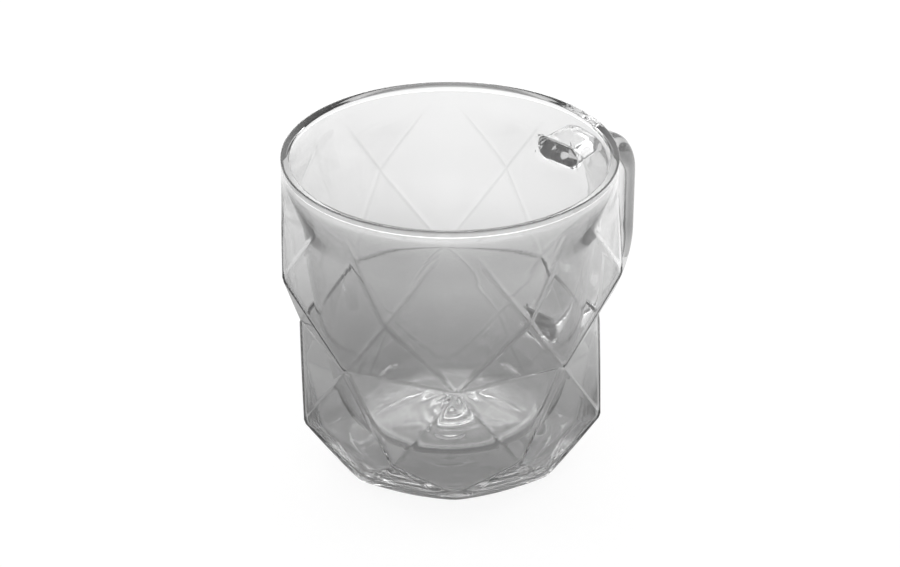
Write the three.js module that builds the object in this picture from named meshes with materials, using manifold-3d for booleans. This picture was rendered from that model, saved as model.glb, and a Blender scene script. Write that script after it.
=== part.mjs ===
// A double-walled glass mug: a faceted outer shell and a smooth inner cup, fused at the rim, with a
// flat glass handle welded to the shell and a glass seal in the vent of the base.
// Millimetres, +Z up. The mug stands on z = 0 and the handle points along +X.
import * as THREE from "three";
import { mergeVertices } from "three/addons/utils/BufferGeometryUtils.js";
import Module from "manifold-3d";

const wasm = await Module();
wasm.setup();

// Driving dimensions

// Faceted wall: five rings of corners, every second one turned by half a facet. The belly stands out from
// the rim, and the waist, hip and foot are drawn in from it. The bulge of a diamond is the share of its
// hollow, between its side corners, that is filled out again.
const FACETS = 8;
const MUG_HEIGHT = 89;
const RIM_RADIUS = 44.2;
const BELLY_SWELL = 3.8;
const BELLY_HEIGHT = 62.5;
const WAIST_TAPER = 3.7;
const WAIST_HEIGHT = 40;
const HIP_TAPER = 1;
const HIP_HEIGHT = 18;
const FOOT_TAPER = 9.7;
const DIAMOND_BULGE = 0.85;

// Glass thickness, and the hairline left where two pieces are fused
const SHELL_WALL = 1.4;
const SHELL_FLOOR = 2.6;
const CUP_WALL = 1.4;
const SEAM = 0.3;

// Rounded bead that fuses both lips
const BEAD_HEIGHT = 2.4;

// Air gap between the shell and the smooth inner cup, from the shoulder below the lips down to the floor
const SHOULDER_AIR = 4.2;
const SHOULDER_DROP = 13;
const WAIST_AIR = 1.4;
const HEEL_AIR = 7.5;
const FLOOR_AIR = 7.7;
const CUP_CORNER = 11.5;

// Ring that the mug stands on, the recess inside it, and the vent that the seal closes
const FOOT_LAND = 6;
const PUNT_DEPTH = 1.2;
const VENT_RADIUS = 2.2;
const SEAL_LEDGE = 1.5;
const SEAL_BUTTON = 0.6;
const SEAL_TEAR = 1.6;

// Flat glass bar of the handle. The drop below the lips and the bottom's height are those of its middle line.
const BAR_WIDTH = 14;
const BAR_THICKNESS = 6;
const BAR_CORNER = 2.2;
const FINGER_GAP = 20.6;
const HANDLE_TOP_DROP = 14;
const HANDLE_BOTTOM_HEIGHT = 20;
const HANDLE_BEND = 14;
const HANDLE_GRIP = 15.5;
const WELD_DEPTH = 1.8;
const WELD_FLARE = 1.5;

// How finely the curves are cut
const PATCH_STEPS = 4;
const ROUND_STEPS = 64;
const CURVE_STEPS = 6;
const SEAL_STEPS = 24;
const BAR_STEPS = 36;
const BAR_CORNER_STEPS = 2;
const WELD_STEPS = 2;

// Sizes that follow from them
const FACET_ANGLE = (2 * Math.PI) / FACETS;
const BELLY_RADIUS = RIM_RADIUS + BELLY_SWELL;
const WAIST_RADIUS = RIM_RADIUS - WAIST_TAPER;
const HIP_RADIUS = RIM_RADIUS - HIP_TAPER;
const FOOT_RADIUS = RIM_RADIUS - FOOT_TAPER;
const LIP_HEIGHT = MUG_HEIGHT - BEAD_HEIGHT;
const CUP_LIP_RADIUS = RIM_RADIUS - SHELL_WALL - SEAM;
const MOUTH_RADIUS = CUP_LIP_RADIUS - CUP_WALL;
const HANDLE_TOP_HEIGHT = LIP_HEIGHT - HANDLE_TOP_DROP;
const HANDLE_REACH = acrossFlats(BELLY_RADIUS) + FINGER_GAP + BAR_THICKNESS / 2;

// Distance from the axis to the middle of a ring's side
function acrossFlats(radius) {
  return radius * Math.cos(FACET_ANGLE / 2);
}

// Solids: a closed geometry becomes a solid that can be cut, and a solid becomes a geometry again

function solidOf(geometry) {
  const bare = geometry.clone();
  bare.deleteAttribute("normal");
  bare.deleteAttribute("uv");
  const merged = mergeVertices(bare, 1e-4);
  return new wasm.Manifold(
    new wasm.Mesh({
      numProp: 3,
      vertProperties: new Float32Array(merged.attributes.position.array),
      triVerts: new Uint32Array(merged.index.array),
    }),
  );
}

function geometryOf(solid) {
  const mesh = solid.getMesh();
  const geometry = new THREE.BufferGeometry();
  geometry.setAttribute("position", new THREE.BufferAttribute(mesh.vertProperties, 3));
  geometry.setIndex(new THREE.BufferAttribute(mesh.triVerts, 1));
  return geometry;
}

// A turned solid. The outline runs in (radius, height), anticlockwise, and is closed on the axis or on itself.
function turned(outline, steps = ROUND_STEPS) {
  const closed = outline[0].x > 0 ? [...outline, outline[0].clone()] : outline;
  const geometry = new THREE.LatheGeometry(closed, steps);
  return geometry.rotateX(Math.PI / 2);
}

// Faceted body

// The rings of the wall, moved inwards by an inset and standing on a floor
function wallRings(inset, floorHeight) {
  return {
    lip: { radius: RIM_RADIUS - inset, height: LIP_HEIGHT, turn: 0 },
    belly: { radius: BELLY_RADIUS - inset, height: BELLY_HEIGHT, turn: 0.5 },
    waist: { radius: WAIST_RADIUS - inset, height: WAIST_HEIGHT, turn: 0 },
    hip: { radius: HIP_RADIUS - inset, height: HIP_HEIGHT, turn: 0.5 },
    foot: { radius: FOOT_RADIUS - inset, height: floorHeight, turn: 0 },
  };
}

function around(radius, height, facet) {
  const angle = facet * FACET_ANGLE;
  return new THREE.Vector3(radius * Math.cos(angle), radius * Math.sin(angle), height);
}

const corner = (ring, facet) => around(ring.radius, ring.height, facet + ring.turn);

// Edges of a patch: a straight line, an arc round the axis, or a single point
const straight = (from, to) => (t) => from.clone().lerp(to, t);
const arc = (ring, facet) => (t) => around(ring.radius, ring.height, facet + t);
const point = (at) => () => at;

// Share of a patch's bulge at a place on it: all of it in the middle and none along the edges
const bulgeAt = (u, v) => 16 * u * (1 - u) * v * (1 - v);

// A surface ruled from an upper edge to a lower one, both run anticlockwise seen from above, facing out,
// with its middle pushed out by a bulge
function addPatch(triangles, upper, lower, bulge = new THREE.Vector3()) {
  const at = (i, j) => {
    const [u, v] = [i / PATCH_STEPS, j / PATCH_STEPS];
    return upper(u).clone().lerp(lower(u), v).addScaledVector(bulge, bulgeAt(u, v));
  };
  for (let i = 0; i < PATCH_STEPS; i++) {
    for (let j = 0; j < PATCH_STEPS; j++) {
      const [a, b, c, d] = [at(i, j), at(i, j + 1), at(i + 1, j + 1), at(i + 1, j)];
      triangles.push([a, b, c], [a, c, d]);
    }
  }
}

// How far the middle of a diamond is pushed out, from the hollow between its side corners
function diamondBulge(topRing, sideRing, bottomRing) {
  const beside = acrossFlats(sideRing.radius);
  const hollow = beside - (topRing.radius + 2 * beside + bottomRing.radius) / 4;
  return DIAMOND_BULGE * hollow;
}

// A diamond from a top corner to a bottom one, between the two corners beside them, with no crease across it
function addDiamond(triangles, topRing, sideRing, bottomRing, facet) {
  const [top, bottom] = [corner(topRing, facet), corner(bottomRing, facet)];
  const [left, right] = [corner(sideRing, facet - 1), corner(sideRing, facet)];
  const bulge = around(diamondBulge(topRing, sideRing, bottomRing), 0, facet);
  addPatch(triangles, straight(top, right), straight(left, bottom), bulge);
}

// The closed faceted body. A collar above the lip, where one is given, lengthens it as a plain cylinder.
function facetedBody(rings, collar) {
  const { lip, belly, waist, hip, foot } = rings;
  const crown = { ...lip, height: lip.height + collar };
  const triangles = [];
  for (let k = 0; k < FACETS; k++) {
    const bellyTip = point(corner(belly, k));
    const hipTip = point(corner(hip, k));
    const waistEdge = straight(corner(waist, k), corner(waist, k + 1));
    const footEdge = straight(corner(foot, k), corner(foot, k + 1));
    addPatch(triangles, point(around(0, crown.height, 0)), arc(crown, k));
    if (collar > 0) addPatch(triangles, arc(crown, k), arc(lip, k));
    addPatch(triangles, arc(lip, k), bellyTip);
    addDiamond(triangles, lip, belly, waist, k);
    addPatch(triangles, bellyTip, waistEdge);
    addPatch(triangles, waistEdge, hipTip);
    addDiamond(triangles, waist, hip, foot, k);
    addPatch(triangles, hipTip, footEdge);
    addPatch(triangles, footEdge, point(around(0, foot.height, 0)));
  }
  const solid = triangles.filter(([a, b, c]) => !a.equals(b) && !b.equals(c) && !c.equals(a));
  return new THREE.BufferGeometry().setFromPoints(solid.flat());
}

// Radius of the outer wall on the middle line of a diamond, where the handle is welded on
function wallRadius(height) {
  const { lip, belly, waist, hip, foot } = wallRings(0, 0);
  const [top, side, bottom] = height > WAIST_HEIGHT ? [lip, belly, waist] : [waist, hip, foot];
  const beside = acrossFlats(side.radius);
  const bend = top.height - 2 * side.height + bottom.height;
  const fall = top.height - side.height;
  const root = Math.sqrt(fall * fall - bend * (top.height - height));
  const t = (top.height - height) / (fall + root);
  const ruled = (1 - t) ** 2 * top.radius + 2 * t * (1 - t) * beside + t ** 2 * bottom.radius;
  return ruled + diamondBulge(top, side, bottom) * bulgeAt(t, t);
}

// Outer shell: the faceted body less its own inside, the recess under the base and the vent

function puntOutline() {
  const edge = acrossFlats(FOOT_RADIUS) - FOOT_LAND;
  const round = (edge ** 2 + PUNT_DEPTH ** 2) / (2 * PUNT_DEPTH);
  const sweep = Math.asin(edge / round);
  const dome = new THREE.EllipseCurve(0, PUNT_DEPTH - round, round, round, Math.PI / 2 - sweep, Math.PI / 2);
  const below = -PUNT_DEPTH;
  return [new THREE.Vector2(0, below), new THREE.Vector2(edge, below), ...dome.getPoints(CURVE_STEPS)];
}

function outerShell() {
  const inside = facetedBody(wallRings(SHELL_WALL, SHELL_FLOOR), BEAD_HEIGHT);
  const vent = new THREE.CylinderGeometry(VENT_RADIUS, VENT_RADIUS, 4 * SHELL_FLOOR, SEAL_STEPS);
  vent.rotateX(Math.PI / 2);
  return geometryOf(
    solidOf(facetedBody(wallRings(0, 0), 0))
      .subtract(solidOf(inside))
      .subtract(solidOf(turned(puntOutline())))
      .subtract(solidOf(vent)),
  );
}

// Inner cup: one outline for its outside and, moved in by the wall, one for its inside

function cupOutline(inset) {
  const at = (radius, height) => new THREE.Vector2(radius - SHELL_WALL - inset, height);
  const floor = SHELL_FLOOR + FLOOR_AIR + inset;
  const heel = at(acrossFlats(HIP_RADIUS) - HEEL_AIR, SHELL_FLOOR + FLOOR_AIR + CUP_CORNER);
  const waist = at(acrossFlats(WAIST_RADIUS) - WAIST_AIR, WAIST_HEIGHT);
  const shoulder = at(RIM_RADIUS - SHOULDER_AIR, LIP_HEIGHT - SHOULDER_DROP);
  const lip = at(RIM_RADIUS - SEAM, LIP_HEIGHT);

  // The side is one curve from heel to shoulder, pulled so that it passes the waist
  const t = (waist.y - heel.y) / (shoulder.y - heel.y);
  const side = waist.clone().addScaledVector(heel, -((1 - t) ** 2)).addScaledVector(shoulder, -(t ** 2));
  side.divideScalar(2 * t * (1 - t));

  const neck = SHOULDER_DROP / 3;
  const below = heel.clone().sub(side);
  const corner = heel.clone().addScaledVector(below, (heel.y - floor) / -below.y);
  const above = shoulder.clone().sub(side);
  const throat = shoulder.clone().addScaledVector(above, neck / above.y);
  const path = new THREE.Path();
  path.moveTo(0, floor);
  path.lineTo(heel.x + inset - CUP_CORNER, floor);
  path.quadraticCurveTo(corner.x, corner.y, heel.x, heel.y);
  path.quadraticCurveTo(side.x, side.y, shoulder.x, shoulder.y);
  path.bezierCurveTo(throat.x, throat.y, lip.x, lip.y - neck, lip.x, lip.y);
  return path.getPoints(CURVE_STEPS);
}

function innerCup() {
  return turned([...cupOutline(0), ...cupOutline(CUP_WALL).reverse()]);
}

// Rim bead: flat underneath on both lips, rounded on top

function rimBead() {
  const seat = LIP_HEIGHT + SEAM;
  const middle = (RIM_RADIUS + MOUTH_RADIUS) / 2;
  const crown = new THREE.EllipseCurve(middle, seat, RIM_RADIUS - middle, MUG_HEIGHT - seat, 0, Math.PI);
  return turned(crown.getPoints(2 * CURVE_STEPS));
}

// Base seal: a drop of glass through the vent, with a button under the base and a tear on top of it

function baseSeal() {
  const stem = VENT_RADIUS - SEAM;
  const head = VENT_RADIUS + SEAL_LEDGE;
  const buttonTop = PUNT_DEPTH - SEAM;
  const tearFoot = SHELL_FLOOR + SEAM;
  const tear = new THREE.EllipseCurve(0, tearFoot, head, SEAL_TEAR, 0, Math.PI / 2);
  const button = new THREE.EllipseCurve(0, buttonTop, head, SEAL_BUTTON, -Math.PI / 2, 0);
  const waist = [new THREE.Vector2(stem, buttonTop), new THREE.Vector2(stem, tearFoot)];
  return turned([...button.getPoints(CURVE_STEPS), ...waist, ...tear.getPoints(CURVE_STEPS)], SEAL_STEPS);
}

// Handle: one flat bar bent to shape, with a flared weld at each end

function barSection() {
  const [x, y, r] = [BAR_THICKNESS / 2, BAR_WIDTH / 2, BAR_CORNER];
  const section = new THREE.Shape();
  section.moveTo(x, r - y);
  section.lineTo(x, y - r);
  section.absarc(x - r, y - r, r, 0, Math.PI / 2, false);
  section.lineTo(r - x, y);
  section.absarc(r - x, y - r, r, Math.PI / 2, Math.PI, false);
  section.lineTo(-x, r - y);
  section.absarc(r - x, r - y, r, Math.PI, 1.5 * Math.PI, false);
  section.lineTo(x - r, -y);
  section.absarc(x - r, r - y, r, 1.5 * Math.PI, 2 * Math.PI, false);
  return section;
}

// The bar starts where its weld ends
const barStart = (height) => wallRadius(height) + WELD_DEPTH + SEAM;

// Middle line: out from the upper weld, round the bend, down the grip and in a wide sweep to the lower weld
function handlePath() {
  const at = (x, z) => new THREE.Vector3(x, 0, z);
  const [top, bottom, reach] = [HANDLE_TOP_HEIGHT, HANDLE_BOTTOM_HEIGHT, HANDLE_REACH];
  const upperEnd = at(barStart(top), top);
  const bendStart = at(reach - HANDLE_BEND, top);
  const gripTop = at(reach, top - HANDLE_BEND);
  const gripBottom = at(reach, gripTop.z - HANDLE_GRIP);
  const lowerEnd = at(barStart(bottom), bottom);
  const sweepEnd = at(lowerEnd.x + BAR_THICKNESS / 2, bottom);
  const sweepTop = at(reach, (gripBottom.z + bottom) / 2);
  const sweepFoot = at((reach + sweepEnd.x + BAR_THICKNESS) / 2, bottom);
  const path = new THREE.CurvePath();
  path.add(new THREE.LineCurve3(upperEnd, bendStart));
  path.add(new THREE.QuadraticBezierCurve3(bendStart, at(reach, top), gripTop));
  path.add(new THREE.LineCurve3(gripTop, gripBottom));
  path.add(new THREE.CubicBezierCurve3(gripBottom, sweepTop, sweepFoot, sweepEnd));
  path.add(new THREE.LineCurve3(sweepEnd, lowerEnd));
  return path;
}

function handleBar() {
  return new THREE.ExtrudeGeometry(barSection(), {
    extrudePath: handlePath(),
    steps: BAR_STEPS,
    curveSegments: BAR_CORNER_STEPS,
    bevelEnabled: false,
  });
}

// A weld flares from the bar's section to a wider foot, which is cut to the faceted wall
function handleWeld(height) {
  const reach = wallRadius(height);
  const foot = new THREE.ExtrudeGeometry(barSection(), {
    depth: SHELL_WALL + SEAM,
    curveSegments: BAR_CORNER_STEPS,
    bevelEnabled: true,
    bevelThickness: WELD_DEPTH,
    bevelSize: WELD_FLARE,
    bevelSegments: WELD_STEPS,
  });
  foot.rotateY(Math.PI / 2);
  foot.translate(reach - SHELL_WALL - SEAM, 0, height);
  const wall = facetedBody(wallRings(-SEAM, 0), BEAD_HEIGHT);
  return geometryOf(solidOf(foot).subtract(solidOf(wall)));
}

// Assembly

function smokeGlass(color, opacity) {
  return new THREE.MeshStandardMaterial({ color, opacity, roughness: 0.04, metalness: 0, transparent: true });
}

function piece(name, geometry, material) {
  const mesh = new THREE.Mesh(geometry, material);
  mesh.name = name;
  return mesh;
}

const handle = new THREE.Group();
handle.add(
  piece("handle_bar", handleBar(), smokeGlass(0x7d7e80, 0.6)),
  piece("upper_handle_weld", handleWeld(HANDLE_TOP_HEIGHT), smokeGlass(0x77787a, 0.6)),
  piece("lower_handle_weld", handleWeld(HANDLE_BOTTOM_HEIGHT), smokeGlass(0x77787a, 0.6)),
);

const mug = new THREE.Group();
mug.add(
  piece("outer_shell", outerShell(), smokeGlass(0x8a8b8d, 0.45)),
  piece("inner_cup", innerCup(), smokeGlass(0x97989a, 0.4)),
  piece("rim_bead", rimBead(), smokeGlass(0xa2a3a5, 0.5)),
  piece("base_seal", baseSeal(), smokeGlass(0x88898b, 0.5)),
  handle,
);

// The origin is the middle of the mug's footprint, handle included
const footprint = new THREE.Box3().setFromObject(mug).getCenter(new THREE.Vector3());
mug.position.set(-footprint.x, -footprint.y, 0);

const root = new THREE.Group();
root.add(mug);

export default root;
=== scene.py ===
import math

import bmesh
import bpy
from bpy.props import FloatProperty, FloatVectorProperty, IntProperty, PointerProperty
from bpy.types import Operator, Panel, PropertyGroup
from mathutils import Matrix, Vector
from mathutils.bvhtree import BVHTree
from mathutils.geometry import interpolate_bezier


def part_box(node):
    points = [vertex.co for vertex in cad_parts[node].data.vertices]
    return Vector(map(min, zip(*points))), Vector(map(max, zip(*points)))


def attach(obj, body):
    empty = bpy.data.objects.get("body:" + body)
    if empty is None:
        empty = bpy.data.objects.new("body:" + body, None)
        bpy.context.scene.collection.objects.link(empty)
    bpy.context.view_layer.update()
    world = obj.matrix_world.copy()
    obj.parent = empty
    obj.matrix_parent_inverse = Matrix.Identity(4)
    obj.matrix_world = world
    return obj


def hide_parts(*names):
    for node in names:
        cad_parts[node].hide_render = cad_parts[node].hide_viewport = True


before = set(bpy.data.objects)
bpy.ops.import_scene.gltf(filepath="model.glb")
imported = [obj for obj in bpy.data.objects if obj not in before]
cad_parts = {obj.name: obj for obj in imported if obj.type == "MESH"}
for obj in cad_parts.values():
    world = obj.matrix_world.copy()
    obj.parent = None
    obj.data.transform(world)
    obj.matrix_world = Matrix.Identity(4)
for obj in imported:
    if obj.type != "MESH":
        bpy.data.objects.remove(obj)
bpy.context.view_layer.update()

bl_info = {
    "name": "Faceted double-wall mug",
    "version": (1, 0, 0),
    "blender": (4, 5, 0),
    "location": "3D View > Sidebar > Mug",
    "description": "Models a faceted double-wall glass mug over its packed solids",
    "category": "Add Mesh",
}

UPRIGHT = Vector((0, 0, 1))

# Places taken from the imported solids
CUP_LOW, CUP_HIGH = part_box("inner_cup")
RIM_LOW, RIM_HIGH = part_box("rim_bead")
BAR_LOW, BAR_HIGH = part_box("handle_bar")
MUG_AXIS = Vector(((CUP_LOW.x + CUP_HIGH.x) / 2, (CUP_LOW.y + CUP_HIGH.y) / 2, 0))
GLASS_NODES = (
    "outer_shell", "inner_cup", "rim_bead", "base_seal",
    "handle_bar", "upper_handle_weld", "lower_handle_weld",
)

# Height of the rim above the lip, and a hair that keeps the grip inside its solid
RIM_RISE = 0.001
HAIR = 0.00002


def length(name, description, default):
    """A length in metres that a user can change."""
    return FloatProperty(
        name=name, description=description, default=default, unit="LENGTH", subtype="DISTANCE", precision=5
    )


def number(name, description, default):
    """A plain number that a user can change."""
    return FloatProperty(name=name, description=description, default=default, precision=3)


def angle(name, description, degrees):
    """An angle that a user can change."""
    return FloatProperty(name=name, description=description, default=math.radians(degrees), subtype="ANGLE")


class MugWall(PropertyGroup):
    facets: IntProperty(name="Facets", description="Diamonds round the wall", default=8, min=5, max=12)
    rim_radius: length("Rim radius", "Axis to the outside of the rim bead", (RIM_HIGH.y - RIM_LOW.y) / 2)
    rim_height: length("Rim height", "Top of the rim bead", RIM_HIGH.z)
    rim_square: number("Rim square", "1 for a round rim, less for a flatter one", 0.5)
    rim_lean: number("Rim lean", "Slope of the rim's top down to the mouth", 0.3)
    lip_height: length("Lip height", "Height where the rim bead starts", RIM_HIGH.z - RIM_RISE)
    round_height: length("Round height", "Height where the facets have run out into the round lip", 0.0832)
    fade_height: length("Fade height", "Height where the facets start to run out", 0.073)
    belly_radius: length("Belly radius", "Axis to a corner of the widest ring", 0.048)
    belly_height: length("Belly height", "Height of the widest ring", 0.0625)
    waist_radius: length("Waist radius", "Axis to a corner of the drawn-in ring", 0.0405)
    waist_height: length("Waist height", "Height of the drawn-in ring", 0.040)
    hip_radius: length("Hip radius", "Axis to a corner of the ring above the foot", 0.0432)
    hip_height: length("Hip height", "Height of the ring above the foot", 0.0178)
    foot_radius: length("Foot radius", "Axis to a corner of the foot", 0.0345)
    foot_height: length("Foot height", "Height where the rounded foot starts", 0.0018)
    foot_turn: length("Foot turn", "How far the rounded foot draws in", 0.0012)
    crest: length("Crest", "How far a ridge stands out of its rounding", 0.0001)
    sole_width: length("Sole width", "Width of the flat ring under the foot", 0.0062)
    ridge_round: length("Ridge rounding", "Distance from a ridge to where its rounding ends", 0.0006)
    wall: length("Wall", "Thickness of the faceted wall", 0.0014)
    lip_wall: length("Lip wall", "Thickness of each wall where they meet below the rim", 0.001)
    floor: length("Floor", "Thickness of the base", 0.0026)
    punt: length("Punt", "Depth of the recess under the base", 0.0012)
    punt_edge: length("Punt edge", "Flat of the foot to the edge of the recess", 0.0075)
    seal_radius: length("Seal radius", "Foot of the seal's button in the recess", 0.0055)
    air_edge: length("Air edge", "Flat of the foot to the flat floor of the air space", 0.0085)
    tear_height: length("Tear height", "Height of the seal's tear in the air space", 0.0009)
    tear_width: length("Tear width", "Radius at which the tear has lost most of its height", 0.0034)
    tear_reach: length("Tear reach", "Radius where the tear has run out", 0.009)
    foot_crease: number("Foot crease", "Sharpness of the foot's edge", 0.42)
    swell: number("Diamond swell", "Share of a diamond's hollow that is blown out again", 0.75)


class MugCup(PropertyGroup):
    wall: length("Wall", "Thickness of the smooth cup", 0.0014)
    seam: length("Seam", "Width of the slit between both walls below the rim", 0.0003)
    seam_height: length("Seam height", "Height where the slit ends below the rim", 0.087)
    seam_taper: length("Seam taper", "Height over which the slit closes", 0.0016)
    shoulder_radius: length("Shoulder radius", "Outside of the cup below its neck", 0.0388)
    shoulder_height: length("Shoulder height", "Height where the neck starts", 0.068)
    side_radius: length("Side radius", "Pull of the side curve, outwards", 0.0370)
    side_height: length("Side height", "Height of the pull of the side curve", 0.0480)
    heel_radius: length("Heel radius", "Outside of the cup above its rounded floor", 0.0310)
    heel_height: length("Heel height", "Height where the rounded floor starts", 0.0218)
    toe_radius: length("Toe radius", "Pull of the rounded corner of the floor", 0.0283)
    floor_radius: length("Floor radius", "Flat part of the floor", 0.0195)
    floor_height: length("Floor height", "Underside of the cup's floor", CUP_LOW.z)
    swirl: length("Swirl", "Height of the ripples left where the cup was spun off", 0.00035)
    swirl_radius: length("Swirl radius", "Where the ripples have died out", 0.012)
    swirl_wave: length("Swirl wave", "Distance from one ripple to the next", 0.0042)


class MugHandle(PropertyGroup):
    width: length("Bar width", "Width of the flat bar", BAR_HIGH.y - BAR_LOW.y)
    thickness: length("Bar thickness", "Thickness of the flat bar", 0.006)
    corner: length("Bar corner", "Rounding of the bar's long edges", 0.0027)
    reach: length("Reach", "Mug axis to the outside of the grip", BAR_HIGH.x - MUG_AXIS.x - HAIR)
    top_height: length("Top height", "Middle of the upper arm", 0.0726)
    bottom_height: length("Bottom height", "Middle of the lower arm", 0.020)
    bend: length("Bend", "Radius of the upper bend", 0.0125)
    sweep: length("Sweep", "Radius of the lower sweep", 0.0226)
    top_root: length("Top root", "Axis to the wall at the upper weld", 0.0444)
    bottom_root: length("Bottom root", "Axis to the wall at the lower weld", 0.0397)
    weld: length("Weld", "Radius of the fillet at a weld", 0.0012)
    weld_run: length("Weld run", "Length over which a weld takes on the curve of the wall", 0.006)
    weld_depth: length("Weld depth", "How far the bar reaches into the wall", 0.0022)


class MugGlass(PropertyGroup):
    tint: FloatVectorProperty(
        name="Smoke", description="Light that the smoke grey glass lets through", subtype="COLOR",
        default=(0.5, 0.5, 0.5), min=0, max=1,
    )
    density: number("Smoke density", "Depth of the smoke, per metre", 28)
    face: number("Face tint", "Light that one wall lets through at its faces", 0.93)
    # Painted shade: share of the glass's colour taken away along a ridge
    ridge: number("Ridge shade", "Light that is lost along a ridge", 0.1)
    ior: number("IOR", "Bending of light in borosilicate glass", 1.47)
    wave: length("Wave", "Height of the waves in the blown faces", 0.00002)
    haze: number("Haze", "Roughness of the faces where they are least clear", 0.012)


class MugStage(PropertyGroup):
    azimuth: angle("Azimuth", "Camera turn round the mug", -47.435)
    elevation: angle("Elevation", "Camera height above the horizon", 29.2)
    distance: length("Distance", "Camera to the middle of the mug", 0.7332)
    aim_height: length("Aim height", "Height that the camera aims at", 0.048)
    lens: number("Lens", "Focal length of the camera, in millimetres", 109.5)
    shift: number("Shift", "Upward shift of the camera", 0.007)
    floor_size: length("Floor size", "Half the side of the floor", 6.0)
    floor_drop: length("Floor drop", "Gap between the mug and the floor", 0.0002)
    floor_shade: number("Floor shade", "Grey that the floor's own surface has under the lamps", 0.12)
    floor_glow: number("Floor glow", "White of the floor in the camera and behind the glass", 0.9)
    pool_right: length("Pool right", "Middle of the floor's shade, right of the mug", -0.022)
    pool_ahead: length("Pool ahead", "Middle of the floor's shade, behind the mug", -0.022)
    bright_side: angle("Bright side", "Turn of the floor's bright end", 18)


# Recess under the base as steps inwards and up from its edge, and the seal's button as radius and height
PUNT_STEPS = ((0.0, 0.0), (0.0008, 0.00008), (0.0018, 0.0003))
PUNT_SHARES = (0.8, 0.65, 0.5, 0.38, 0.28)
SEAL_BUTTON = ((0.0043, 0.00105), (0.0037, 0.0008), (0.0028, 0.00045), (0.0014, 0.0003), (0.0, 0.0003))
AIR_FLOOR_SHARES = (1, 0.8, 0.6, 0.45)

# Noise behind the glass's waves and its haze: scale, detail and roughness
WAVE_NOISE = (55.0, 2.0, 0.4)
HAZE_NOISE = (140.0, 5.0, 0.6)

# Shade of the floor: its level at a distance from the pool's middle, and along its bright side
SHADE_REACH = 0.3
POOL_SHADE = ((0.018, 0.50), (0.045, 0.54), (0.081, 0.64), (0.102, 0.77), (0.129, 0.93), (0.165, 1.0))
SIDE_SHADE = (
    (-0.27, 0.75), (-0.18, 0.62), (-0.072, 0.46), (0.036, 0.46), (0.06, 0.50),
    (0.096, 0.63), (0.12, 0.75), (0.15, 0.87), (0.21, 0.93),
)
SHADE_GAIN = 1.28
SHADE_LOSS = 0.09

# Studio dome: how far it faces the camera (0 away, 1 towards) and the sine of its rise, with a share at each
SKY_LEVEL = 1.0
CARD_SIDE = ((0.36, 0), (0.44, 1), (0.86, 1), (0.96, 0))
CARD_RISE = ((0.1, 0), (0.16, 1), (0.7, 1), (0.85, 0))
CARD_DEPTH = 0.7
WINDOW_SIDE = ((0.06, 1), (0.3, 0))
WINDOW_RISE = ((0.1, 0), (0.3, 1), (0.65, 1), (0.85, 0))
WINDOW_GAIN = 0.2
CORE_SIDE = ((0.01, 1), (0.08, 0))
CORE_RISE = ((0.3, 0), (0.45, 1), (0.53, 1), (0.72, 0))
CORE_GAIN = 0.9

# Faces of glass that light is followed through
GLASS_BOUNCES = 32

# Camera: width of its sensor in millimetres, and how near and how far it sees in metres
SENSOR_WIDTH = 36
NEAREST, FARTHEST = 0.01, 50

# Lamps: turn from the camera and rise in degrees, distance, width and height in metres, power in watts
LAMPS = {
    "left_strip": (-100, 45, 1.1, 0.45, 0.2, 1.5),
    "right_strip": (100, 45, 1.1, 0.45, 0.2, 1.5),
    "backlight": (180, 14.5, 1.2, 0.87, 0.4, 3.4),
}


# Mesh helpers


def open_loop(bm, low, high):
    """The open edges whose both ends lie between two heights."""
    return [e for e in bm.edges if e.is_boundary and all(low <= v.co.z <= high for v in e.verts)]


def pull_row(bm, loop):
    """Pulls a new row out of an open loop, always in the loop's order, and gives its vertices and edges."""
    fresh = {}
    pulled = []
    for edge in loop:
        for vert in edge.verts:
            if vert not in fresh:
                fresh[vert] = bm.verts.new(vert.co)
        corner = edge.link_loops[0] if edge.link_loops else None
        start, end = (corner.vert, corner.link_loop_next.vert) if corner else edge.verts
        bm.faces.new((end, start, fresh[start], fresh[end]))
        pulled.append(bm.edges.get((fresh[start], fresh[end])))
    return list(fresh.values()), pulled


def draw_on(bm, loop, outline):
    """Draws an open loop on in round rows, through an outline of (radius, height) points to the axis."""
    least = 1e-6
    for radius, height in outline:
        row, loop = pull_row(bm, loop)
        for vert in row:
            vert.co = (*(vert.co.xy.normalized() * max(radius, least)), height)
    bmesh.ops.pointmerge(bm, verts=row, merge_co=(0, 0, outline[-1][1]))


def settle(bm):
    """Turns all faces outwards, and sorts vertices and faces so that each run gives the same mesh."""
    bmesh.ops.recalc_face_normals(bm, faces=bm.faces[:])
    for place, vert in enumerate(sorted(bm.verts, key=lambda v: v.co[:])):
        vert.index = place
    bm.verts.sort()
    for place, face in enumerate(sorted(bm.faces, key=lambda f: [v.index for v in f.verts])):
        face.index = place
    bm.faces.sort()


def with_modifiers(bm, name, *modifiers):
    """The bmesh as its modifiers leave it."""
    mesh = bpy.data.meshes.new(name)
    bm.to_mesh(mesh)
    bm.free()
    worked = bpy.data.objects.new(name, mesh)
    bpy.context.scene.collection.objects.link(worked)
    for kind, settings in modifiers:
        modifier = worked.modifiers.new(kind.title(), kind)
        for key, value in settings.items():
            setattr(modifier, key, value)
    result = bmesh.new()
    result.from_object(worked, bpy.context.evaluated_depsgraph_get())
    bpy.data.objects.remove(worked)
    bpy.data.meshes.remove(mesh)
    return result


# Faceted wall


def column(vert, facets):
    """Number of the half facet that a vertex stands at, counted from the handle."""
    return round(math.atan2(vert.co.y, vert.co.x) * facets / math.pi)


def at_corners(row, facets, turn):
    """The vertices of a row that stand at its corners (turn 0) or between them (turn 1)."""
    return [v for v in row if column(v, facets) % 2 == turn]


def set_radius(verts, radius):
    for vert in verts:
        vert.co.xy = vert.co.xy.normalized() * radius


def edges_between(verts):
    """The edges whose both ends are among these vertices."""
    chosen = set(verts)
    return list({e for v in verts for e in v.link_edges if chosen.issuperset(e.verts)})


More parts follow.
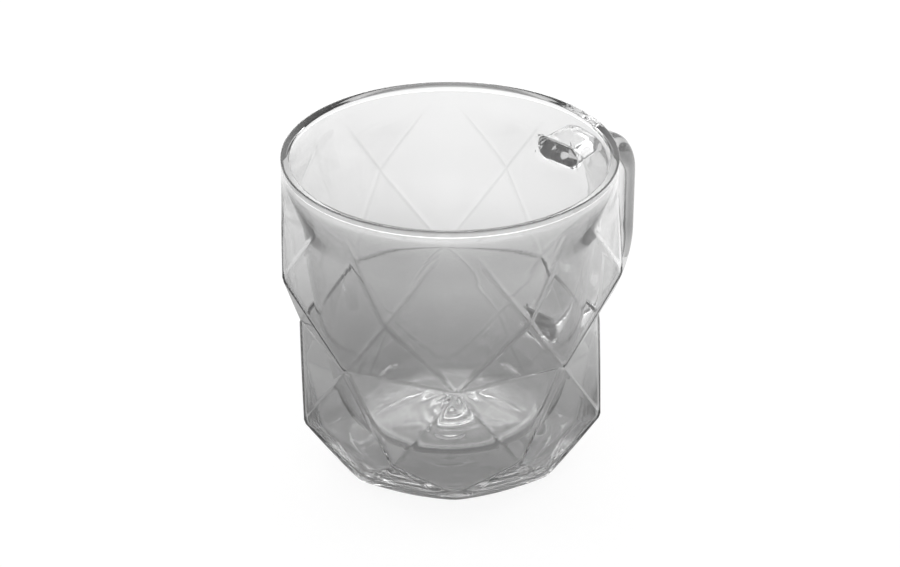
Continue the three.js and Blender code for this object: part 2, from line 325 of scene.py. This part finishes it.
def lip_radius(wall, inset):
    """Radius of the round neck, on its outside or inside the wall."""
    return wall.rim_radius - min(inset, wall.lip_wall)


def facet_cage(wall, inset, sole_height):
    """The wall as flat facets, moved inwards by an inset, from a round lip down to the sole."""
    facets = wall.facets
    foot_radius = wall.foot_radius - inset
    rows = (
        (wall.belly_radius - inset, wall.belly_height),
        (wall.waist_radius - inset, wall.waist_height),
        (wall.hip_radius - inset, wall.hip_height),
        (foot_radius, sole_height + wall.foot_height),
        (foot_radius - wall.foot_turn, sole_height),
        (foot_radius - wall.sole_width, sole_height),
    )
    bm = bmesh.new()
    crease = bm.edges.layers.float.new("crease_edge")
    ridge = bm.edges.layers.float.new("bevel_weight_edge")
    collar = bmesh.ops.create_circle(bm, segments=2 * facets, radius=lip_radius(wall, inset))["verts"]
    bmesh.ops.translate(bm, verts=collar, vec=UPRIGHT * wall.lip_height)
    rings, loop = [], bm.edges[:]
    for radius, height in rows:
        ring, loop = pull_row(bm, loop)
        set_radius(ring, radius)
        bmesh.ops.translate(bm, verts=ring, vec=UPRIGHT * (height - ring[0].co.z))
        rings.append(ring)

    # Ridges join the corners of one row with those of the next
    belly, waist, hip, foot, heel, sole = rings
    tips = at_corners(belly + hip, facets, 1)
    lip_corners, waist_corners, foot_corners = (at_corners(row, facets, 0) for row in (collar, waist, foot))
    ridges = bmesh.ops.connect_verts(bm, verts=tips + lip_corners + waist_corners + foot_corners)["edges"]

    # What lies between the corners goes, in the same order in each run, which leaves diamonds and triangles
    bmesh.ops.dissolve_verts(bm, verts=at_corners(belly + hip, facets, 0))
    spare = at_corners(waist + foot + heel + sole, facets, 1)
    upright = dict.fromkeys(
        e
        for v in tips + spare
        for e in v.link_edges
        if column(e.other_vert(v), facets) == column(v, facets)
    )
    bmesh.ops.dissolve_edges(bm, edges=list(upright))
    bmesh.ops.dissolve_verts(bm, verts=spare)

    for edge in ridges + edges_between(waist_corners):
        edge[crease] = 1
        edge[ridge] = 1
    for edge in edges_between(foot_corners):
        edge[crease] = wall.foot_crease
    return bm


def smoothed(bm, levels):
    return with_modifiers(bm, "facets", ("SUBSURF", {"levels": levels, "render_levels": levels}))


def blow_out(bm, wall, inset, sole_height):
    """Blows out the middle of each diamond by its share of the hollow there."""
    facets = wall.facets
    flat = math.cos(math.pi / facets)
    lip = lip_radius(wall, inset)
    radii = (wall.belly_radius, wall.waist_radius, wall.hip_radius, wall.foot_radius)
    belly, waist, hip, foot = (radius - inset for radius in radii)
    ridge = bm.edges.layers.float["bevel_weight_edge"]
    # A vertex in the middle of a smoothed diamond keeps 4/9 of what it is moved by
    kept = 4 / 9
    row_margin, turn_margin = 0.001, 0.01
    for upper, beside, lower, low, high in (
        (lip, belly * flat, waist, wall.waist_height, wall.lip_height),
        (waist, hip * flat, foot, sole_height, wall.waist_height),
    ):
        hollow = beside - (upper + 2 * beside + lower) / 4
        for vert in bm.verts:
            turn = math.atan2(vert.co.y, vert.co.x) * facets / math.tau
            between_rows = low + row_margin < vert.co.z < high - row_margin
            in_middle = between_rows and abs(turn - round(turn)) < turn_margin
            if in_middle and not any(e[ridge] for e in vert.link_edges):
                set_radius([vert], vert.co.xy.length + wall.swell * hollow / kept)


def ease(part):
    """A soft step from 0 to 1."""
    part = min(max(part, 0.0), 1.0)
    return part * part * (3 - 2 * part)


def fade(wall, height):
    """Share of the round lip in the faceted wall at a height."""
    return ease((height - wall.fade_height) / (wall.round_height - wall.fade_height))


def run_out(bm, wall, lip):
    """Lets the facets run out into the round lip."""
    for vert in bm.verts:
        radius = vert.co.xy.length
        set_radius([vert], radius + (lip - radius) * fade(wall, vert.co.z))


def faceted_skin(wall, inset, sole_height, crest):
    """One face of the faceted wall, with rounded ridges and a fine crest on each."""
    bm = smoothed(facet_cage(wall, inset, sole_height), levels=1)
    blow_out(bm, wall, inset, sole_height)
    bm = smoothed(bm, levels=3)
    run_out(bm, wall, lip_radius(wall, inset))
    ridge = bm.edges.layers.float["bevel_weight_edge"]
    # The rounding stops short of the foot and of the round lip, and the waist's ridges carry no painted shade
    foot_margin, lip_margin, waist_margin = 0.0032, 0.0015, 0.0012
    low, high = sole_height + foot_margin, wall.round_height - lip_margin
    ridges = [e for e in bm.edges if e[ridge] > 0.5 and all(low < v.co.z < high for v in e.verts)]
    # Painted shade: a mask along each rounded ridge that darkens the glass's colour there, in place of bent
    # light
    line = bm.verts.layers.float.new("ridge_line")
    made = bmesh.ops.bevel(
        bm, geom=ridges, offset=wall.ridge_round, offset_type="OFFSET", affect="EDGES", segments=3,
        profile=0.5, clamp_overlap=False, material=-1,
    )
    strip = set(made["faces"])
    for vert in {v for f in strip for v in f.verts}:
        inside = all(f in strip for f in vert.link_faces)
        if inside:
            vert.co += vert.normal * crest * (1 - fade(wall, vert.co.z))
        if inside and abs(vert.co.z - wall.waist_height) > waist_margin:
            vert[line] = 1 - fade(wall, vert.co.z)
    return bm


# Smooth cup


def curve(start, pull, end, steps):
    """Points of a quadratic curve, without its first."""
    start, pull, end = (Vector((*p, 0)) for p in (start, pull, end))
    points = interpolate_bezier(start, start.lerp(pull, 2 / 3), end.lerp(pull, 2 / 3), end, steps + 1)
    return [tuple(p.xy) for p in points[1:]]


def cup_outline(cup, inset, lip, lip_height):
    """The cup's side from its lip down to the middle of its floor."""
    shoulder = (cup.shoulder_radius - inset, cup.shoulder_height)
    side = (cup.side_radius - inset, cup.side_height)
    heel = (cup.heel_radius - inset, cup.heel_height)
    toe = (cup.toe_radius - inset, cup.floor_height + inset)
    flat = (cup.floor_radius, cup.floor_height + inset)
    neck_top = cup.seam_height - cup.seam_taper
    neck = (neck_top - cup.shoulder_height) / 3
    neck_lean = 0.06
    lip_steps, neck_steps, side_steps, heel_steps, floor_steps = 4, 10, 14, 12, 26
    throat = Vector((shoulder[0] + neck_lean * neck, shoulder[1] + neck, 0))
    under_lip = Vector((lip, neck_top - neck, 0))
    top = Vector((lip, neck_top, 0))
    points = interpolate_bezier(top, under_lip, throat, Vector((*shoulder, 0)), neck_steps + 1)
    outline = []
    if inset:
        outline += [(lip, lip_height + (neck_top - lip_height) * i / lip_steps) for i in range(lip_steps)]
    outline += [tuple(p.xy) for p in points]
    outline += curve(shoulder, side, heel, side_steps)
    outline += curve(heel, toe, flat, heel_steps)
    for i in range(1, floor_steps + 1):
        radius = flat[0] * (1 - i / floor_steps)
        swirl = max(0.0, 1 - radius / cup.swirl_radius)
        outline.append((radius, flat[1] + cup.swirl * swirl * math.cos(math.tau * radius / cup.swirl_wave)))
    return outline


def mouth_radius(wall, cup):
    return lip_radius(wall, 0) - 2 * wall.lip_wall - cup.seam


def rim_outline(wall, cup):
    """The rounded bead from the outer wall over to the inside of the cup."""
    mouth = mouth_radius(wall, cup)
    middle = (wall.rim_radius + mouth) / 2
    half = (wall.rim_radius - mouth) / 2
    rise = wall.rim_height - wall.lip_height
    steps = 24
    outline = []
    for turn in (math.pi * i / steps for i in range(1, steps)):
        across = math.copysign(abs(math.cos(turn)) ** wall.rim_square, math.cos(turn))
        radius = middle + half * across
        top = rise - wall.rim_lean * (wall.rim_radius - radius)
        outline.append((radius, wall.lip_height + top * math.sin(turn) ** wall.rim_square))
    return outline


def foot_flat(wall):
    """Axis to the middle of a side of the foot."""
    return wall.foot_radius * math.cos(math.pi / wall.facets)


def base_outline(wall):
    """The recess under the base, from its edge to the seal in its middle."""
    edge = foot_flat(wall) - wall.punt_edge
    points = [(edge - inwards, height) for inwards, height in PUNT_STEPS]
    points += [(edge * part, wall.punt * (1 - part * part)) for part in PUNT_SHARES]
    return points + [(wall.seal_radius, wall.punt), *SEAL_BUTTON]


def cavity_floor_outline(wall):
    """The top of the base inside the wall, from its edge to the tear of the seal."""
    edge = foot_flat(wall) - wall.air_edge
    points = [(edge * part, wall.floor) for part in AIR_FLOOR_SHARES]
    steps = 12
    for i in range(1, steps + 1):
        radius = wall.tear_reach * (1 - i / steps)
        points.append((radius, wall.floor + wall.tear_height * math.exp(-((radius / wall.tear_width) ** 2))))
    return points


def outside_skin(wall, cup):
    """All of the glass that hands and drink touch: base, facets, rim and the inside of the cup."""
    bm = faceted_skin(wall, inset=0, sole_height=0, crest=wall.crest)
    mouth = mouth_radius(wall, cup)
    lip_loop = open_loop(bm, wall.belly_height, wall.rim_height)
    sole_loop = open_loop(bm, -wall.floor, wall.floor)
    draw_on(bm, lip_loop, rim_outline(wall, cup) + cup_outline(cup, cup.wall, mouth, wall.lip_height))
    draw_on(bm, sole_loop, base_outline(wall))
    settle(bm)
    return bm


def cavity_skin(wall, cup):
    """The sealed space between both walls."""
    bm = faceted_skin(wall, inset=wall.wall, sole_height=wall.floor, crest=0)
    foot = cup.seam_height - cup.seam_taper
    sink = 1 - (foot - wall.round_height) / (wall.lip_height - wall.round_height)
    for vert in bm.verts:
        vert.co.z -= max(0.0, vert.co.z - wall.round_height) * sink
    lip_loop = open_loop(bm, wall.belly_height, wall.rim_height)
    sole_loop = open_loop(bm, 0, 2 * wall.floor)
    half_slit = cup.seam / 2
    middle = lip_radius(wall, wall.wall) - half_slit
    steps, sharpness = 8, 1.3
    closing = [
        (half_slit * (1 - i / steps) ** sharpness, foot + cup.seam_taper * i / steps) for i in range(1, steps)
    ]
    wedge = [(middle + half, height) for half, height in closing]
    wedge += [(middle, cup.seam_height)]
    wedge += [(middle - half, height) for half, height in closing[::-1]]
    draw_on(bm, lip_loop, wedge + cup_outline(cup, 0, middle - half_slit, foot))
    draw_on(bm, sole_loop, cavity_floor_outline(wall))
    settle(bm)
    bmesh.ops.reverse_faces(bm, faces=bm.faces[:])
    return bm


# Handle


def end_face(geom):
    return next(g for g in geom if isinstance(g, bmesh.types.BMFace))


def push(bm, face, step, scale=(1, 1, 1)):
    """Pulls the end of the bar on by a step, and widens or narrows it."""
    made = bmesh.ops.extrude_face_region(bm, geom=[face])["geom"]
    face = end_face(made)
    bmesh.ops.translate(bm, verts=face.verts, vec=step)
    centre = face.calc_center_median()
    bmesh.ops.scale(bm, verts=face.verts, vec=scale, space=Matrix.Translation(-centre))
    return face


def turn_bar(bm, face, centre, parts):
    """Bends the end of the bar by a right angle round a centre."""
    made = bmesh.ops.spin(bm, geom=[face], cent=centre, axis=(0, 1, 0), angle=math.pi / 2, steps=parts)
    return end_face(made["geom_last"])


def fillet(handle):
    """How far a weld stands out from the bar, at steps from the wall."""
    steps = 6
    radius = handle.weld
    turns = [math.pi / 2 * i / steps for i in range(steps + 1)]
    return [(radius * (1 - math.cos(t)), radius * (1 - math.sin(t))) for t in turns]


def follow_wall(bm, handle, skin):
    """Moves both ends of the bar in or out, so that each weld follows the curve of the wall."""
    wall = BVHTree.FromBMesh(skin)
    way = Vector((-1, 0, 0))
    reach = Vector((2 * handle.reach, 0, 0))
    split = (handle.top_height + handle.bottom_height) / 2
    for vert in bm.verts:
        upper = vert.co.z > split
        root = handle.top_root if upper else handle.bottom_root
        blend = ease(1 - (vert.co.x - root - handle.weld) / handle.weld_run)
        if blend > 0:
            hit = wall.ray_cast(reach + Vector((0, vert.co.y, vert.co.z)), way)[0]
            vert.co.x += (hit.x - root) * blend


def straight_bar(bm, face, step, parts):
    """Pulls the end of the bar on in a straight line, in equal parts."""
    for _ in range(parts):
        face = push(bm, face, step / parts)
    return face


def flared_end(bm, face, handle, profile):
    """Pulls the end of the bar on along a fillet's profile."""
    wide, thick = handle.width, handle.thickness
    for (here, flare), (there, next_flare) in zip(profile, profile[1:]):
        scale_y = (wide + 2 * next_flare) / (wide + 2 * flare)
        scale_z = (thick + 2 * next_flare) / (thick + 2 * flare)
        face = push(bm, face, (there - here, 0, 0), (1, scale_y, scale_z))
    return face


def handle_bar(handle, skin):
    """The flat bar, bent to shape, with a fillet at each end that runs into the wall."""
    bm = bmesh.new()
    wide, thick = handle.width, handle.thickness
    bmesh.ops.create_grid(bm, x_segments=1, y_segments=1, size=0.5)
    bmesh.ops.scale(bm, verts=bm.verts, vec=(thick, wide, 1))
    bmesh.ops.bevel(
        bm, geom=bm.verts[:], offset=handle.corner, offset_type="OFFSET", affect="VERTICES",
        segments=8, profile=0.5, material=-1,
    )
    bmesh.ops.rotate(bm, verts=bm.verts, matrix=Matrix.Rotation(-math.pi / 2, 3, "Y"))
    profile = fillet(handle)
    flare = profile[0][1]
    bmesh.ops.scale(bm, verts=bm.verts, vec=(1, 1 + 2 * flare / wide, 1 + 2 * flare / thick))
    bmesh.ops.translate(bm, verts=bm.verts, vec=(handle.top_root - handle.weld_depth, 0, handle.top_height))
    bm.faces.ensure_lookup_table()
    face = push(bm, bm.faces[0], (handle.weld_depth, 0, 0))
    face = flared_end(bm, face, handle, profile)

    # Upper arm, bend, grip, sweep and lower arm
    arm_parts, bend_parts, grip_parts, sweep_parts, foot_parts = 4, 24, 6, 32, 2
    outwards = Vector((1, 0, 0))
    middle = handle.reach - thick / 2
    run = middle - handle.bend - handle.top_root - handle.weld
    face = straight_bar(bm, face, outwards * run, arm_parts)
    bend_at = (middle - handle.bend, 0, handle.top_height - handle.bend)
    face = turn_bar(bm, face, bend_at, bend_parts)
    grip = handle.top_height - handle.bend - handle.bottom_height - handle.sweep
    face = straight_bar(bm, face, -UPRIGHT * grip, grip_parts)
    sweep_at = (middle - handle.sweep, 0, handle.bottom_height + handle.sweep)
    face = turn_bar(bm, face, sweep_at, sweep_parts)
    run = middle - handle.sweep - handle.bottom_root - handle.weld
    face = straight_bar(bm, face, -outwards * run, foot_parts)
    face = flared_end(bm, face, handle, profile[::-1])
    push(bm, face, (-handle.weld_depth, 0, 0))

    inner = [f for f in bm.faces if all(len(e.link_faces) > 2 for e in f.edges)]
    bmesh.ops.delete(bm, geom=inner, context="FACES_ONLY")
    follow_wall(bm, handle, skin)
    settle(bm)
    return bm


def fused(bm, other):
    """Two closed skins as one piece of glass."""
    mesh = bpy.data.meshes.new("handle")
    other.to_mesh(mesh)
    other.free()
    tool = bpy.data.objects.new("handle", mesh)
    bpy.context.scene.collection.objects.link(tool)
    union = {"operation": "UNION", "solver": "EXACT", "object": tool}
    result = with_modifiers(bm, "walls", ("BOOLEAN", union))
    bpy.data.objects.remove(tool)
    bpy.data.meshes.remove(mesh)
    return result


# Materials


def grey(level):
    return (level, level, level, 1)


class Value:
    """A shader socket that takes part in sums."""

    def __init__(self, shader, socket):
        self.shader = shader
        self.socket = socket

    def __add__(self, other):
        return self.shader.maths("ADD", self, other)

    def __sub__(self, other):
        return self.shader.maths("SUBTRACT", self, other)

    def __rsub__(self, other):
        return self.shader.maths("SUBTRACT", other, self)

    def __mul__(self, other):
        return self.shader.maths("MULTIPLY", self, other)

    __radd__ = __add__
    __rmul__ = __mul__


class Shader:
    """Builds the node tree of a material or a world."""

    def __init__(self, owner):
        owner.use_nodes = True
        self.tree = owner.node_tree
        self.tree.nodes.clear()

    def node(self, kind, settings=None, sockets=None):
        made = self.tree.nodes.new(kind)
        for key, value in (settings or {}).items():
            if key == "stops":
                ramp = made.color_ramp
                for _ in range(len(value) - len(ramp.elements)):
                    ramp.elements.new(1)
                for stop, (place, colour) in zip(ramp.elements, value):
                    stop.position = place
                    stop.color = colour
            else:
                setattr(made, key, value)
        for key, value in (sockets or {}).items():
            if isinstance(value, Value):
                self.tree.links.new(value.socket, made.inputs[key])
            else:
                made.inputs[key].default_value = value
        return made

    def out(self, made, name):
        return Value(self, made.outputs[name])

    def maths(self, operation, first, second):
        made = self.node("ShaderNodeMath", {"operation": operation}, {0: first, 1: second})
        return self.out(made, "Value")

    def vector(self, operation, first, second, result):
        made = self.node("ShaderNodeVectorMath", {"operation": operation}, {0: first, 1: second})
        return self.out(made, result)

    def ramp(self, place, stops):
        """Grey levels that change evenly between stops of place and level."""
        settings = {"stops": [(at, grey(level)) for at, level in stops]}
        return self.out(self.node("ShaderNodeValToRGB", settings, {"Fac": place}), "Color")

    def noise(self, place, scale, detail, roughness):
        sockets = {"Vector": place, "Scale": scale, "Detail": detail, "Roughness": roughness}
        return self.out(self.node("ShaderNodeTexNoise", None, sockets), "Fac")


def smoke_glass(look):
    """Clear smoke grey glass with faint waves, a trace of haze and painted shade along its ridges."""
    material = bpy.data.materials.new("smoke_glass")
    shader = Shader(material)
    place = shader.out(shader.node("ShaderNodeTexCoord"), "Object")
    wave = shader.noise(place, *WAVE_NOISE)
    haze = shader.noise(place, *HAZE_NOISE)
    bump = shader.node("ShaderNodeBump", None, {"Strength": 1.0, "Distance": look.wave, "Height": wave})
    # Painted shade: the ridge mask darkens the glass's colour along its ridges
    line = shader.out(shader.node("ShaderNodeAttribute", {"attribute_name": "ridge_line"}), "Fac")
    shade = shader.node(
        "ShaderNodeMix",
        {"data_type": "RGBA"},
        {"Factor": line * look.ridge, "A": grey(look.face), "B": grey(0)},
    )
    surface = shader.node(
        "ShaderNodeBsdfPrincipled",
        None,
        {
            "Base Color": shader.out(shade, "Result"),
            "Roughness": haze * look.haze,
            "IOR": look.ior,
            "Transmission Weight": 1.0,
            "Normal": shader.out(bump, "Normal"),
        },
    )
    depth = shader.node(
        "ShaderNodeVolumeAbsorption", None, {"Color": (*look.tint, 1), "Density": look.density}
    )
    shader.node(
        "ShaderNodeOutputMaterial",
        None,
        {"Surface": shader.out(surface, "BSDF"), "Volume": shader.out(depth, "Volume")},
    )
    return material


def pale_floor(stage):
    """White paper for the camera, with a pool of shade round the mug for what is seen through the glass."""
    material = bpy.data.materials.new("pale_floor")
    shader = Shader(material)
    ray = shader.node("ShaderNodeLightPath")
    glossy, through = shader.out(ray, "Is Glossy Ray"), shader.out(ray, "Is Transmission Ray")
    by_glass = shader.maths("MAXIMUM", glossy, through)
    place = shader.out(shader.node("ShaderNodeTexCoord"), "Object")
    away = shader.vector("DISTANCE", place, (stage.pool_right, stage.pool_ahead, 0), "Value")
    pool = shader.ramp(away * (1 / SHADE_REACH), [(at / SHADE_REACH, level) for at, level in POOL_SHADE])
    bright_way = (math.sin(stage.bright_side), math.cos(stage.bright_side), 0)
    along = shader.vector("DOT_PRODUCT", place, bright_way, "Value")
    both_ways = 2 * SHADE_REACH
    side_stops = [(at / both_ways + 0.5, level) for at, level in SIDE_SHADE]
    side = shader.ramp(along * (1 / both_ways) + 0.5, side_stops)
    level = pool * side * SHADE_GAIN - SHADE_LOSS
    seen = shader.maths("MAXIMUM", shader.out(ray, "Is Camera Ray"), by_glass * level)
    paper = shader.node("ShaderNodeBsdfDiffuse", None, {"Color": grey(stage.floor_shade)})
    glow = shader.node("ShaderNodeEmission", None, {"Color": grey(1), "Strength": seen * stage.floor_glow})
    sockets = {0: shader.out(paper, "BSDF"), 1: shader.out(glow, "Emission")}
    both = shader.node("ShaderNodeAddShader", None, sockets)
    shader.node("ShaderNodeOutputMaterial", None, {"Surface": shader.out(both, "Shader")})
    return material


def studio_dome(back):
    """A pale dome with a dark card on each side and a window ahead, and white for the camera."""
    world = bpy.data.worlds.new("studio")
    shader = Shader(world)
    ray = shader.node("ShaderNodeLightPath")
    way = shader.out(shader.node("ShaderNodeTexCoord"), "Generated")
    rise = shader.out(shader.node("ShaderNodeSeparateXYZ", None, {"Vector": way}), "Z")
    flat = shader.vector("MULTIPLY", way, (1, 1, 0), "Vector")
    level = shader.node("ShaderNodeVectorMath", {"operation": "NORMALIZE"}, {0: flat})
    towards = Vector((back.x, back.y, 0)).normalized()
    facing = shader.vector("DOT_PRODUCT", shader.out(level, "Vector"), towards, "Value") * 0.5 + 0.5
    card = shader.ramp(facing, CARD_SIDE) * shader.ramp(rise, CARD_RISE)
    window = shader.ramp(facing, WINDOW_SIDE) * shader.ramp(rise, WINDOW_RISE)
    core = shader.ramp(facing, CORE_SIDE) * shader.ramp(rise, CORE_RISE)
    light = SKY_LEVEL - card * CARD_DEPTH + window * WINDOW_GAIN + core * CORE_GAIN
    sky = shader.node("ShaderNodeBackground", None, {"Color": grey(1), "Strength": light})
    paper = shader.node("ShaderNodeBackground", None, {"Color": grey(1), "Strength": 1.0})
    sockets = {
        0: shader.out(ray, "Is Camera Ray"),
        1: shader.out(sky, "Background"),
        2: shader.out(paper, "Background"),
    }
    mixed = shader.node("ShaderNodeMixShader", None, sockets)
    shader.node("ShaderNodeOutputWorld", None, {"Surface": shader.out(mixed, "Shader")})
    return world


# Stage


def towards_camera(stage):
    turn, rise = stage.azimuth, stage.elevation
    return Vector((math.sin(turn) * math.cos(rise), -math.cos(turn) * math.cos(rise), math.sin(rise)))


def put(scene, name, data, away, way):
    """Puts a camera or a lamp at a distance from the middle of the mug, and points it there."""
    made = bpy.data.objects.new(name, data)
    made.location = MUG_AXIS + UPRIGHT * scene.mug_stage.aim_height + way * away
    made.rotation_mode = "QUATERNION"
    made.rotation_quaternion = (-way).to_track_quat("-Z", "Y")
    scene.collection.objects.link(made)
    return made


def lay_floor(scene, stage):
    bm = bmesh.new()
    bmesh.ops.create_grid(bm, x_segments=1, y_segments=1, size=stage.floor_size)
    mesh = bpy.data.meshes.new("floor")
    bm.to_mesh(mesh)
    bm.free()
    mesh.materials.append(pale_floor(stage))
    floor = bpy.data.objects.new("floor", mesh)
    floor.location = MUG_AXIS - UPRIGHT * stage.floor_drop
    floor.rotation_euler.z = stage.azimuth
    scene.collection.objects.link(floor)


def set_camera(scene, stage):
    lens = bpy.data.cameras.new("camera")
    lens.lens = stage.lens
    lens.sensor_width = SENSOR_WIDTH
    lens.shift_y = stage.shift
    lens.clip_start = NEAREST
    lens.clip_end = FARTHEST
    scene.camera = put(scene, "camera", lens, stage.distance, towards_camera(stage))


def hang_lamps(scene, stage):
    back = towards_camera(stage)
    level = Vector((back.x, back.y, 0)).normalized()
    for name, (turn, rise, away, wide, high, power) in LAMPS.items():
        way = Matrix.Rotation(math.radians(turn), 3, "Z") @ level
        way = way * math.cos(math.radians(rise)) + UPRIGHT * math.sin(math.radians(rise))
        lamp = bpy.data.lights.new(name, "AREA")
        lamp.shape = "RECTANGLE"
        lamp.size = wide
        lamp.size_y = high
        lamp.energy = power
        put(scene, name, lamp, away, way).visible_camera = False


# Operators


class MUG_OT_glass(Operator):
    """Blow the double wall, bend the handle and fuse them into one piece of smoke grey glass"""

    bl_idname = "mug.glass"
    bl_label = "Glass mug"

    def execute(self, context):
        scene = context.scene
        bm = outside_skin(scene.mug_wall, scene.mug_cup)
        bm = fused(bm, handle_bar(scene.mug_handle, bm))
        cavity = cavity_skin(scene.mug_wall, scene.mug_cup)
        mesh = bpy.data.meshes.new("mug_glass")
        cavity.to_mesh(mesh)
        cavity.free()
        bm.from_mesh(mesh)
        bmesh.ops.translate(bm, verts=bm.verts, vec=MUG_AXIS)
        bm.to_mesh(mesh)
        bm.free()
        mesh.shade_smooth()
        mesh.materials.append(smoke_glass(scene.mug_glass))
        piece = bpy.data.objects.new("mug_glass", mesh)
        scene.collection.objects.link(piece)
        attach(piece, "root")
        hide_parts(*GLASS_NODES)
        return {"FINISHED"}


class MUG_OT_stage(Operator):
    """Lay the pale floor, light it and set the camera at the photograph's angle"""

    bl_idname = "mug.stage"
    bl_label = "Stage"

    def execute(self, context):
        scene = context.scene
        stage = scene.mug_stage
        lay_floor(scene, stage)
        set_camera(scene, stage)
        hang_lamps(scene, stage)
        scene.world = studio_dome(towards_camera(stage))
        scene.view_settings.view_transform = "Standard"
        scene.cycles.max_bounces = GLASS_BOUNCES
        scene.cycles.transmission_bounces = GLASS_BOUNCES
        scene.cycles.glossy_bounces = GLASS_BOUNCES
        return {"FINISHED"}


class MUG_PT_panel(Panel):
    bl_idname = "MUG_PT_panel"
    bl_label = "Mug"
    bl_space_type = "VIEW_3D"
    bl_region_type = "UI"
    bl_category = "Mug"

    def draw(self, context):
        for operator in (MUG_OT_glass, MUG_OT_stage):
            self.layout.operator(operator.bl_idname)


GROUPS = {
    "mug_wall": MugWall,
    "mug_cup": MugCup,
    "mug_handle": MugHandle,
    "mug_glass": MugGlass,
    "mug_stage": MugStage,
}
CLASSES = (*GROUPS.values(), MUG_OT_glass, MUG_OT_stage, MUG_PT_panel)


def register():
    for cls in CLASSES:
        bpy.utils.register_class(cls)
    for name, group in GROUPS.items():
        setattr(bpy.types.Scene, name, PointerProperty(type=group))


def unregister():
    for name in GROUPS:
        delattr(bpy.types.Scene, name)
    for cls in reversed(CLASSES):
        bpy.utils.unregister_class(cls)


def main():
    register()
    bpy.ops.mug.glass()
    bpy.ops.mug.stage()


if __name__ == "__main__":
    main()
